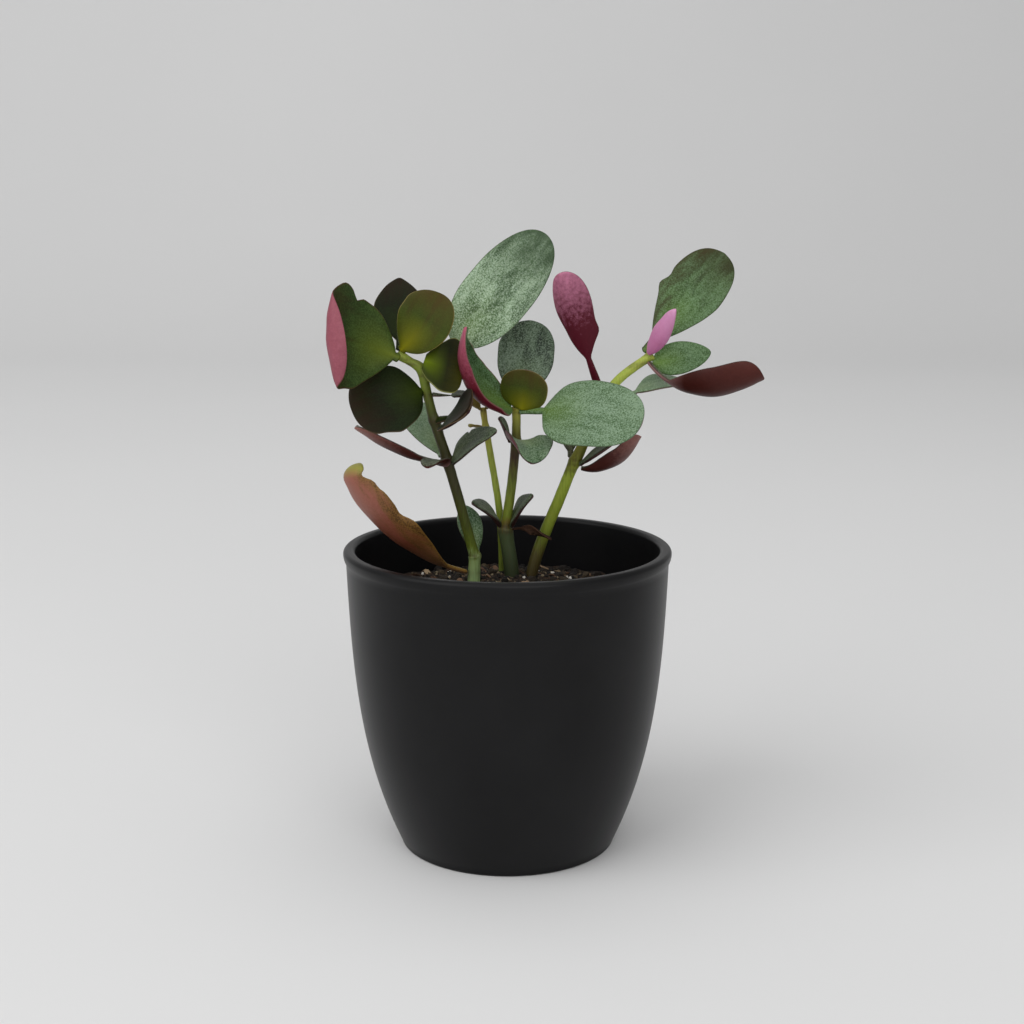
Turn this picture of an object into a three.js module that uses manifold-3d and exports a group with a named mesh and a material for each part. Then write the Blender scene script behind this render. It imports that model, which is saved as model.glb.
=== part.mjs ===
// A small crassula in a matt black pot: pot, potting soil, four stems and their fleshy leaves.
// Millimetres, +Z up, the flat foot of the pot stands on z = 0 with the pot's axis on the Z axis.
// The plant's front is -Y and its right is +X.
import * as THREE from "three";
import Module from "manifold-3d";

const wasm = await Module();
wasm.setup();

// ---- driving dimensions ----
const POT_HEIGHT = 112;
const POT_RIM_R = 60; // outside of the lip
const POT_FOOT_R = 39.5; // where the wall would meet the floor if the foot were sharp
const BELLY_SHARE = 0.78; // share of the widening that the swelling lower wall takes
const BELLY_POWER = 3.2; // how early it swells
const LIP_OUT = 0.8; // the lip stands this far outside the wall
const LIP_HEIGHT = 5;
const LIP_ROUND = 1.6;
const WALL = 4.4; // at the lip
const FLOOR = 5;
const FOOT_ROUND = 1.2;
const SOIL_BELOW_RIM = 19; // where the soil meets the wall
const MOUND_BELOW_RIM = 13; // the mound that the stems stand on
const MOUND_MIDDLE = [0, 9];
const MOUND_R = 34;
const ROOTED = 12; // how deep the stems go into the soil
const PLANT_SCALE = 1; // grows the stems and leaves
const LEAF_THICK = 2;
const PETIOLE_R = 0.95; // half width of the narrow root of a full-size leaf
const GAP = 0.3; // between any two neighbouring pieces
const SOCKET_SPARE = 0.45; // round each stem in the soil
const POT_SIDES = 56;
const STEM_SIDES = 10;
const LEAF_SIDES = 10;
const LEAF_STEPS = 9;
const SMALL_LEAF = 9.5; // narrower leaves take fewer sides and steps

const soilEdge = POT_HEIGHT - SOIL_BELOW_RIM;
const soilTop = POT_HEIGHT - MOUND_BELOW_RIM;
const V = (a) => new THREE.Vector3(...a);

// A closed surface through rings of equal count that run anticlockwise about the way they travel.
function closedLoft(first, rings, last) {
  const sides = rings[0].length;
  const points = [first, ...rings.flat(), last];
  const at = (i, k) => 1 + i * sides + (k % sides);
  const end = points.length - 1;
  const faces = [];
  for (let k = 0; k < sides; k++) {
    faces.push(0, at(0, k + 1), at(0, k));
    for (let i = 0; i + 1 < rings.length; i++) {
      faces.push(at(i, k), at(i, k + 1), at(i + 1, k + 1));
      faces.push(at(i, k), at(i + 1, k + 1), at(i + 1, k));
    }
    faces.push(end, at(rings.length - 1, k), at(rings.length - 1, k + 1));
  }
  const made = new THREE.BufferGeometry();
  made.setAttribute("position", new THREE.Float32BufferAttribute(points.flatMap((p) => p.toArray()), 3));
  made.setIndex(faces);
  made.computeVertexNormals();
  return made;
}

function ringAt(centre, side, up, count, outline) {
  return Array.from({ length: count }, (_, k) => {
    const [a, b] = outline((2 * Math.PI * k) / count);
    return centre.clone().addScaledVector(side, a).addScaledVector(up, b);
  });
}

// ---- pot ----
const WALL_STEPS = [0.035, 0.09, 0.15, 0.23, 0.33, 0.44, 0.57, 0.71, 0.85];
const INNER_ROUND = 3; // where the inner wall turns into the floor
const innerLow = FLOOR + INNER_ROUND;
const widening = POT_RIM_R - LIP_OUT - POT_FOOT_R;

// The wall swells quickly above the foot, then leans out evenly to the lip.
function wallRadius(z) {
  const s = z / POT_HEIGHT;
  const swell = 1 - (1 - s) ** BELLY_POWER;
  return POT_FOOT_R + widening * (BELLY_SHARE * swell + (1 - BELLY_SHARE) * s);
}

const innerRadius = (z) => wallRadius(z) - WALL + LIP_OUT;

function arc(cx, cz, r, from, to, steps) {
  return Array.from({ length: steps + 1 }, (_, i) => {
    const a = THREE.MathUtils.degToRad(from + ((to - from) * i) / steps);
    return [cx + r * Math.cos(a), cz + r * Math.sin(a)];
  });
}

function potGeometry() {
  const lipLow = POT_HEIGHT - LIP_HEIGHT;
  const outerHeights = WALL_STEPS.map((share) => share * POT_HEIGHT);
  const innerHeights = outerHeights.slice(1).reverse();
  const profile = [
    [0, 0],
    ...arc(wallRadius(FOOT_ROUND) - FOOT_ROUND, FOOT_ROUND, FOOT_ROUND, -90, 0, 3),
    ...outerHeights.map((z) => [wallRadius(z), z]),
    [wallRadius(lipLow), lipLow],
    [POT_RIM_R - 0.3, lipLow + 1.2],
    ...arc(POT_RIM_R - LIP_ROUND, POT_HEIGHT - LIP_ROUND, LIP_ROUND, 0, 90, 3),
    ...arc(POT_RIM_R - WALL + LIP_ROUND, POT_HEIGHT - LIP_ROUND, LIP_ROUND, 90, 180, 3),
    ...innerHeights.map((z) => [innerRadius(z), z]),
    ...arc(innerRadius(innerLow) - INNER_ROUND, innerLow, INNER_ROUND, 0, -90, 3),
    [0, FLOOR],
  ];
  const made = new THREE.LatheGeometry(profile.map(([r, z]) => new THREE.Vector2(r, z)), POT_SIDES);
  return made.rotateX(Math.PI / 2);
}

// ---- stems ----
// Each stem's rows run from the soil up as [x, y, height above the mound, diameter].
// The wider rows are the nodes that leaf pairs grow from, the first rows the thick old foot.
const STEMS = {
  stem_left: {
    colour: 0x4c5a2c,
    path: [
      [-12.6, 1, -ROOTED, 4.2],
      [-12.4, 1, 0, 5],
      [-12.1, 1, 7.6, 4.6],
      [-12, 1, 9, 5.4],
      [-12.5, 0.8, 10.4, 4.1],
      [-16.6, -2, 26.8, 3.9],
      [-21, -4, 43, 4],
      [-21.8, -4, 45.5, 5.1],
      [-22.4, -4.2, 48, 3.9],
      [-25.6, -5.6, 58, 3.8],
      [-26.2, -6, 60.4, 4.8],
      [-26.9, -6.2, 62.6, 3.7],
      [-29.4, -7.4, 74, 3.6],
      [-30.4, -8, 79, 4.6],
      [-34.1, -9.2, 81.4, 3],
      [-38.6, -10, 84.3, 4],
    ],
  },
  stem_middle: {
    colour: 0x5f6d2c,
    path: [
      [2, 9, -ROOTED, 5],
      [1.7, 9, 0, 6],
      [-0.2, 9, 13, 5.6],
      [-0.8, 9, 17.6, 6.4],
      [-0.6, 9, 19.6, 4.2],
      [1.3, 8, 32, 3.7],
      [2.9, 6.3, 48.6, 3.6],
      [3.1, 6, 50.8, 4.7],
      [3.2, 5.8, 53, 3.5],
      [3.2, 5.1, 61.4, 3.3],
      [3.1, 5, 63.6, 4.4],
    ],
  },
  stem_back: {
    colour: 0x8d9c3f,
    path: [
      [-2.2, 15.4, -ROOTED, 2.4],
      [-2.2, 14.6, 8, 2.6],
      [-3.1, 14.4, 24, 2.8],
      [-4.9, 15, 35.8, 2.7],
      [-7.7, 17, 52, 2.6],
      [-8, 17.1, 54, 3.5],
      [-8.4, 17.3, 56, 2.4],
      [-9.1, 18, 61.5, 2.8],
    ],
  },
  stem_right: {
    colour: 0x93a53f,
    path: [
      [8, 10, -ROOTED, 4.2],
      [8.8, 10, 0, 4.8],
      [13.9, 10, 16, 4.6],
      [18.5, 9.2, 27, 4.5],
      [23.8, 8.1, 41, 4.4],
      [24.8, 8, 43, 5.6],
      [25.8, 8.2, 45, 4.3],
      [31.6, 10, 57.8, 4],
      [32.8, 10.4, 60.4, 5],
      [34.2, 10.8, 63, 3.8],
      [40, 12.4, 72.4, 3.6],
      [51, 13.8, 80.2, 3.4],
      [53, 14, 81.6, 4.6],
    ],
  },
};

const placed = ([x, y, h]) => V([x, y, h]).multiplyScalar(PLANT_SCALE).add(V([0, 0, soilTop]));

function stemCurve(path) {
  const curve = new THREE.CatmullRomCurve3(path.map(placed), false, "centripetal");
  const point = (t) => curve.getPoint(t);
  const along = (t) => curve.getTangent(t).normalize();
  const radius = (t) => {
    const f = t * (path.length - 1);
    const i = Math.min(Math.floor(f), path.length - 2);
    const diameter = THREE.MathUtils.lerp(path[i][3], path[i + 1][3], THREE.MathUtils.smoothstep(f - i, 0, 1));
    return (diameter * PLANT_SCALE) / 2;
  };
  return { point, along, radius };
}

function stemGeometry(path, spare = 0) {
  const { point, along, radius } = stemCurve(path);
  const steps = (path.length - 1) * 2;
  const rings = [];
  for (let i = 0; i <= steps; i++) {
    const t = i / steps;
    const travel = along(t);
    const up = V([0, 1, 0]).addScaledVector(travel, -travel.y).normalize();
    const side = up.clone().cross(travel);
    const r = radius(t) + spare;
    rings.push(ringAt(point(t), side, up, STEM_SIDES, (a) => [r * Math.cos(a), r * Math.sin(a)]));
  }
  const foot = point(0).addScaledVector(along(0), -0.6 - spare);
  const tip = point(1).addScaledVector(along(1), 0.35 * radius(1) + spare);
  return closedLoft(foot, rings, tip);
}

// The place on a stem that is this far above the mound.
function stemPlace(name, height) {
  const { point, along, radius } = stemCurve(STEMS[name].path);
  let low = 0;
  let high = 1;
  for (let i = 0; i < 40; i++) {
    const t = (low + high) / 2;
    if (point(t).z - soilTop < height) low = t;
    else high = t;
  }
  return { centre: point(low), along: along(low), radius: radius(low) };
}

// ---- soil ----
function soilHeight(x, y) {
  const far = Math.hypot(x - MOUND_MIDDLE[0], y - MOUND_MIDDLE[1]) / MOUND_R;
  const rise = far < 1 ? Math.cos((Math.PI / 2) * far) : 0;
  const lumps = 0.5 * Math.sin(0.31 * x + 1.3) * Math.cos(0.27 * y) + 0.35 * Math.sin(0.55 * y + 0.4 * x);
  return soilEdge + (soilTop - soilEdge) * rise + lumps;
}

function soilGeometry() {
  const sides = 32;
  const round = (r, z) =>
    ringAt(V([0, 0, 0]), V([1, 0, 0]), V([0, 1, 0]), sides, (a) => [r * Math.cos(a), r * Math.sin(a)]).map(
      (p) => p.setZ(z ?? soilHeight(p.x, p.y)),
    );
  const foot = round(innerRadius(innerLow) - INNER_ROUND - GAP, FLOOR + GAP);
  const wall = Array.from({ length: 8 }, (_, i) => innerLow + ((soilEdge - 3 - innerLow) * i) / 7);
  const sunk = wall.map((z) => round(innerRadius(z) - 2 * GAP, z));
  const edge = innerRadius(soilEdge) - 2 * GAP;
  const top = [1, 0.88, 0.74, 0.6, 0.45, 0.3, 0.15].map((share) => round(edge * share));
  return closedLoft(V([0, 0, FLOOR + GAP]), [foot, ...sunk, ...top], V([0, 0, soilHeight(0, 0)]));
}

// ---- leaves ----
// Each row is one leaf, named after its stem, as
// [stem, height, reach, face, width, cup, bow, stalk, skin]:
//   height of its node above the soil, then reach from root to tip and the way its upper side looks;
//   width  across the widest part
//   cup    degrees of arc across the leaf, edges towards the upper side
//   bow    rise of the midrib towards the upper side as a share of the length; negative sags
//   stalk  share of the length that is narrow stalk
//   skin   which of the colours below
const SKINS = {
  silver: 0x6d8270,
  green: 0x4a5f45,
  olive: 0x4d5628,
  dark: 0x1f2a1c,
  crimson: 0x8a3a52,
  russet: 0x5a2a2c,
  dried: 0x3a2618,
  bud: 0x9a8f45,
  salmon: 0xa05a4c,
};

const LEAVES = {
  leaf_left_spoon: ["stem_left", 84, [-21.7, -20.1, 9], [0.6, -0.75, 0.3], 35, 50, -0.2, 0.08, "olive"],
  leaf_left_pointed: ["stem_left", 84.2, [-0.7, 22, 25.4], [0.1, -1, 0.1], 18, 25, 0.03, 0.1, "dark"],
  leaf_left_upright: ["stem_left", 84.2, [14.3, -3, 22.3], [-0.1, -1, 0.2], 19, 20, 0.03, 0.1, "olive"],
  leaf_left_cup: ["stem_left", 79.6, [15, -1.6, -2.6], [-0.1, -0.8, 0.55], 20, 60, -0.05, 0.1, "dark"],
  leaf_left_front: ["stem_left", 71, [-25.8, -9.2, -6.1], [-0.1, -0.9, 0.5], 26, 20, 0.05, 0.1, "dark"],
  leaf_left_tall: ["stem_left", 77, [44, 22, 48], [0.1, -1, 0.1], 27, 15, -0.02, 0.24, "silver"],
  leaf_left_folded: ["stem_left", 60.4, [12.5, -15, 5], [-0.97, -0.1, 0.45], 23, 60, -0.05, 0.3, "dark"],
  leaf_left_brown: ["stem_left", 69, [15, 4, 0], [0, -0.3, 1], 8, 40, -0.03, 0.4, "russet"],
  leaf_left_long: ["stem_left", 46, [-31.5, -11, 13], [0, -0.1, 1], 13, 25, -0.07, 0.1, "russet"],
  leaf_left_pale: ["stem_left", 47, [-13.5, 19, 16], [0.2, -0.9, 0.4], 12, 20, 0, 0.1, "silver"],
  leaf_left_slant: ["stem_left", 45, [17.9, -9, 12.7], [-0.4, -0.4, 0.8], 14, 40, 0.05, 0.1, "silver"],
  leaf_left_small: ["stem_left", 44.4, [-6.9, -14, 1.2], [0, 0.1, 1], 10, 70, 0.05, 0.1, "russet"],
  leaf_left_low: ["stem_left", 9.5, [-4, 12, 16], [0.2, -0.9, 0.3], 11, 40, 0.05, 0.1, "green"],
  leaf_left_old: ["stem_left", 3.5, [-44.5, -18, 41], [0.5, 0.5, 0.7], 27, 80, -0.14, 0.12, "salmon"],
  leaf_middle_folded: ["stem_middle", 51, [6, -16, -5.6], [0.45, -0.25, 0.85], 20, 110, 0.05, 0.1, "green"],
  leaf_middle_broad: ["stem_middle", 62.4, [45, -22.1, 1.5], [0.1, -0.8, 0.6], 29, 15, 0.03, 0.24, "silver"],
  leaf_middle_round: ["stem_middle", 64, [3.9, -5, 13.9], [0, -0.8, 0.5], 17, 30, 0, 0.1, "olive"],
  leaf_middle_crimson: ["stem_middle", 63, [-17.8, -25, 31.2], [0.95, -0.3, 0.2], 22, 130, -0.14, 0.1, "crimson"],
  leaf_middle_back: ["stem_middle", 64, [5.6, 17, 29.8], [-0.1, -1, 0.2], 21, 20, 0.03, 0.12, "green"],
  leaf_middle_narrow: ["stem_middle", 51.5, [-6, -6, 9], [0, -0.5, 0.8], 6, 60, 0, 0.1, "green"],
  leaf_middle_low_left: ["stem_middle", 19, [-12.3, -7, 10], [0, -0.3, 1], 12, 40, 0.05, 0.1, "green"],
  leaf_middle_low_right: ["stem_middle", 20, [9.8, -7.2, 11.8], [-0.4, -0.3, 0.8], 11, 40, 0.05, 0.1, "green"],
  leaf_middle_dried: ["stem_middle", 17.4, [17, -8, -2], [0, -0.3, 1], 4, 80, 0.1, 0.3, "dried"],
  bud_back_top_left: ["stem_back", 61.5, [-6, -5, 4], [0, 0, 1], 4, 50, 0.05, 0.2, "bud"],
  bud_back_top_right: ["stem_back", 61.5, [6, -4, 5], [0, 0, 1], 4, 50, 0.05, 0.2, "bud"],
  bud_back_low: ["stem_back", 54, [-6, -7, 2], [0, 0, 1], 3.6, 50, 0.05, 0.2, "bud"],
  leaf_right_pink: ["stem_right", 67, [-16.6, -11.1, 45.4], [0.4, 0.9, 0.1], 15, 60, -0.04, 0.4, "crimson"],
  leaf_right_long: ["stem_right", 60, [39.7, 18.7, 8.8], [0, -0.3, 0.95], 13, 40, 0.1, 0.1, "green"],
  leaf_right_rise: ["stem_right", 44, [-3.7, 17, 18], [0.2, -0.9, 0.2], 8, 60, 0, 0.1, "russet"],
  leaf_right_green: ["stem_right", 43.6, [12.3, -9.1, 7.3], [-0.2, -0.3, 0.9], 9, 40, 0, 0.1, "green"],
  leaf_right_crescent: ["stem_right", 42.4, [24.4, 3, 9.3], [-0.3, 0.2, 0.9], 18, 110, -0.1, 0.1, "russet"],
  leaf_right_tall: ["stem_right", 81, [28.5, 16.1, 36.7], [-0.2, -1, 0.2], 23, 15, 0.03, 0.1, "green"],
  leaf_right_magenta: ["stem_right", 81.4, [7.1, -16, 18.1], [0.6, 0.6, 0.1], 9, 80, -0.05, 0.12, "crimson"],
  leaf_right_small: ["stem_right", 81, [22.5, 0.1, 1.7], [0, -0.85, 0.5], 13, 25, 0.03, 0.12, "green"],
  leaf_right_low: ["stem_right", 80.4, [38.3, -25.8, -3.7], [0.1, 0.35, 1], 22, 110, -0.16, 0.12, "russet"],
};

const petioleRadius = (width) => Math.min(PETIOLE_R, 0.14 * width) * PLANT_SCALE;

// Half width at share s of the length: a narrow stalk, then an oval blade that is rounder at the tip.
function halfWidth(width, stalk, s) {
  const middle = stalk + 0.55 * (1 - stalk);
  const before = THREE.MathUtils.clamp((middle - s) / (middle - stalk), 0, 1);
  const after = THREE.MathUtils.clamp((s - middle) / (1 - middle), 0, 1);
  const oval = s < middle ? (1 - before ** 2) ** 0.75 : Math.sqrt(1 - after ** 2);
  const stub = petioleRadius(width) * Math.sqrt(Math.min(1, s / 0.03, (1 - s) / 0.1));
  return Math.max((oval * width * PLANT_SCALE) / 2, stub);
}

function leafGeometry([stem, height, reachRow, faceRow, width, cup, bow, stalk]) {
  const { centre, along, radius } = stemPlace(stem, height * PLANT_SCALE);
  const reach = V(reachRow).multiplyScalar(PLANT_SCALE);
  const ahead = reach.clone().normalize();
  const outward = ahead.clone().addScaledVector(along, -ahead.dot(along)).normalize();
  const petiole = petioleRadius(width);
  const root = centre.clone().addScaledVector(outward, radius + GAP + petiole * Math.abs(ahead.dot(along)));
  const tip = centre.clone().add(reach);
  const face = V(faceRow);
  face.addScaledVector(ahead, -face.dot(ahead)).normalize();
  const rise = 4 * bow * reach.length();
  const small = width < SMALL_LEAF;
  const steps = LEAF_STEPS - (small ? 2 : 0);
  const sides = LEAF_SIDES - (small ? 2 : 0);
  const thick = Math.min(LEAF_THICK, 0.25 * width) * PLANT_SCALE;
  const arcHalf = THREE.MathUtils.degToRad(cup) / 2;
  const rings = [];
  for (let i = 1; i < steps; i++) {
    const s = (1 - Math.cos((Math.PI * i) / steps)) / 2;
    const middle = root.clone().lerp(tip, s).addScaledVector(face, rise * s * (1 - s));
    const travel = tip.clone().sub(root).addScaledVector(face, rise * (1 - 2 * s)).normalize();
    const up = face.clone().addScaledVector(travel, -face.dot(travel)).normalize();
    const side = up.clone().cross(travel);
    const half = halfWidth(width, stalk, s);
    const flat = THREE.MathUtils.clamp((half - petiole) / (0.3 * width * PLANT_SCALE), 0, 1);
    const deep = THREE.MathUtils.lerp(0.85 * half, Math.min(half, thick / 2), flat);
    const bend = Math.max(0.02, arcHalf * flat);
    rings.push(
      ringAt(middle, side, up, sides, (a) => {
        const turn = bend * Math.cos(a);
        const lift = deep * Math.sin(a);
        const r = half / bend;
        return [(r - lift) * Math.sin(turn), r * (1 - Math.cos(turn)) + lift * Math.cos(turn)];
      }),
    );
  }
  return closedLoft(root, rings, tip);
}

// ---- assembly ----
function solidOf(geometry) {
  const mesh = new wasm.Mesh({
    numProp: 3,
    vertProperties: new Float32Array(geometry.attributes.position.array),
    triVerts: new Uint32Array(geometry.index.array),
  });
  return new wasm.Manifold(mesh);
}

function geometryOf(solid) {
  const mesh = solid.getMesh();
  const made = new THREE.BufferGeometry();
  made.setAttribute("position", new THREE.BufferAttribute(new Float32Array(mesh.vertProperties), 3));
  made.setIndex(new THREE.BufferAttribute(new Uint32Array(mesh.triVerts), 1));
  made.computeVertexNormals();
  return made;
}

const plant = new THREE.Group();
plant.name = "potted_crassula";

function add(name, geometry, colour, roughness) {
  const material = new THREE.MeshStandardMaterial({ color: colour, roughness, metalness: 0 });
  const mesh = new THREE.Mesh(geometry, material);
  mesh.name = name;
  plant.add(mesh);
}

add("pot", potGeometry(), 0x1d1d1e, 0.55);

// The stems stand in sockets in the soil.
const sockets = Object.values(STEMS).map(({ path }) => solidOf(stemGeometry(path, SOCKET_SPARE)));
const soil = sockets.reduce((solid, socket) => solid.subtract(socket), solidOf(soilGeometry()));
add("soil", geometryOf(soil), 0x2b211a, 0.95);

for (const [name, { path, colour }] of Object.entries(STEMS)) add(name, stemGeometry(path), colour, 0.5);
for (const [name, leaf] of Object.entries(LEAVES)) add(name, leafGeometry(leaf), SKINS[leaf.at(-1)], 0.45);

export default plant;
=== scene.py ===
# A potted crassula: turned pot, soil with crumbs, chips and fibres, stems, and each leaf as its own piece.
import math
import random

import bmesh
import bpy
from mathutils import Matrix, Vector, noise


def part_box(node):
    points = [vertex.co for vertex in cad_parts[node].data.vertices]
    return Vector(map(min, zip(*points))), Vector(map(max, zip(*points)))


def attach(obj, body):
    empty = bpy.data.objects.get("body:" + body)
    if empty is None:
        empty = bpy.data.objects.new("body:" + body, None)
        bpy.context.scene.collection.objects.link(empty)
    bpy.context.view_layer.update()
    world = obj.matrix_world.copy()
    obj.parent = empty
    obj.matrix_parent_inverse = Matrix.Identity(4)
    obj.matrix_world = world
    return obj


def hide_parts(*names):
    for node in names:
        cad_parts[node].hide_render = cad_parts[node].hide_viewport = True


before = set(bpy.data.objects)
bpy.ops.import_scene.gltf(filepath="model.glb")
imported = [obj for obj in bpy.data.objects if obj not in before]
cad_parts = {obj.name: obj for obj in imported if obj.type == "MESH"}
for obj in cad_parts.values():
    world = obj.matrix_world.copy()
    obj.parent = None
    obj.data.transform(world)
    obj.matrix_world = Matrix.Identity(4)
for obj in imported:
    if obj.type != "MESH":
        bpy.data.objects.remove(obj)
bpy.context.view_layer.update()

MM = 0.001
scene = bpy.context.scene
bpy.ops.object.select_all(action="DESELECT")


# ---- camera and light ----
LENS = 57.35  # focal length in mm, on a full-frame sensor
SENSOR_WIDTH = 36
CAMERA_PLACE = (1.65 * MM, -584.6 * MM, 238.85 * MM)
CAMERA_DOWN = 11.055  # degrees below level


def set_camera():
    sight = bpy.data.cameras.new("camera")
    sight.lens = LENS
    sight.sensor_width = SENSOR_WIDTH
    camera = bpy.data.objects.new("camera", sight)
    camera.location = CAMERA_PLACE
    camera.rotation_euler = (math.radians(90 - CAMERA_DOWN), 0, 0)
    scene.collection.objects.link(camera)
    scene.camera = camera


def add_softbox(name, place, aim, size, watts):
    light = bpy.data.lights.new(name, "AREA")
    light.shape = "RECTANGLE"
    light.size, light.size_y = size
    light.energy = watts
    box = bpy.data.objects.new(name, light)
    box.location = place
    box.rotation_euler = (Vector(aim) - Vector(place)).to_track_quat("-Z", "Y").to_euler()
    scene.collection.objects.link(box)


# ---- materials ----
def linear(colour):
    """An sRGB hex colour as the linear RGBA that a shader takes."""
    parts = [int(colour[i:i + 2], 16) / 255 for i in (1, 3, 5)]
    return [c / 12.92 if c <= 0.04045 else ((c + 0.055) / 1.055) ** 2.4 for c in parts] + [1]


def add_node(tree, kind, inputs=None, stops=None, **settings):
    """Adds a node, sets it, and gives each named or numbered input a value or a link."""
    node = tree.nodes.new(kind)
    for name, value in settings.items():
        setattr(node, name, value)
    for at, (place, colour) in enumerate(stops or []):
        ramp = node.color_ramp.elements
        stop = ramp[at] if at < 2 else ramp.new(place)
        stop.position = place
        stop.color = colour if not isinstance(colour, str) else linear(colour)
    for socket, source in (inputs or {}).items():
        if isinstance(source, bpy.types.NodeSocket):
            tree.links.new(source, node.inputs[socket])
        else:
            node.inputs[socket].default_value = source
    return node


def new_material(name, **shader_values):
    material = bpy.data.materials.new(name)
    material.use_nodes = True
    tree = material.node_tree
    shader = tree.nodes["Principled BSDF"]
    for socket, value in shader_values.items():
        shader.inputs[socket.replace("_", " ")].default_value = value
    return material, tree, shader


FACTOR, FIRST, SECOND = 0, 6, 7  # the inputs of a Mix node that mixes colours
MIXED = 2  # and its output
LOW, HIGH, OUT_LOW, OUT_HIGH = 1, 2, 3, 4  # the inputs of a Map Range node, from 0 to 1 unless set


def paint(tree, ground, layers):
    """Lays colours over a ground colour, each through its own mask."""
    for mask, colour in layers:
        top = linear(colour) if isinstance(colour, str) else colour
        mix = add_node(tree, "ShaderNodeMix", {FACTOR: mask, FIRST: ground, SECOND: top}, data_type="RGBA")
        ground = mix.outputs[MIXED]
    return ground


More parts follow.
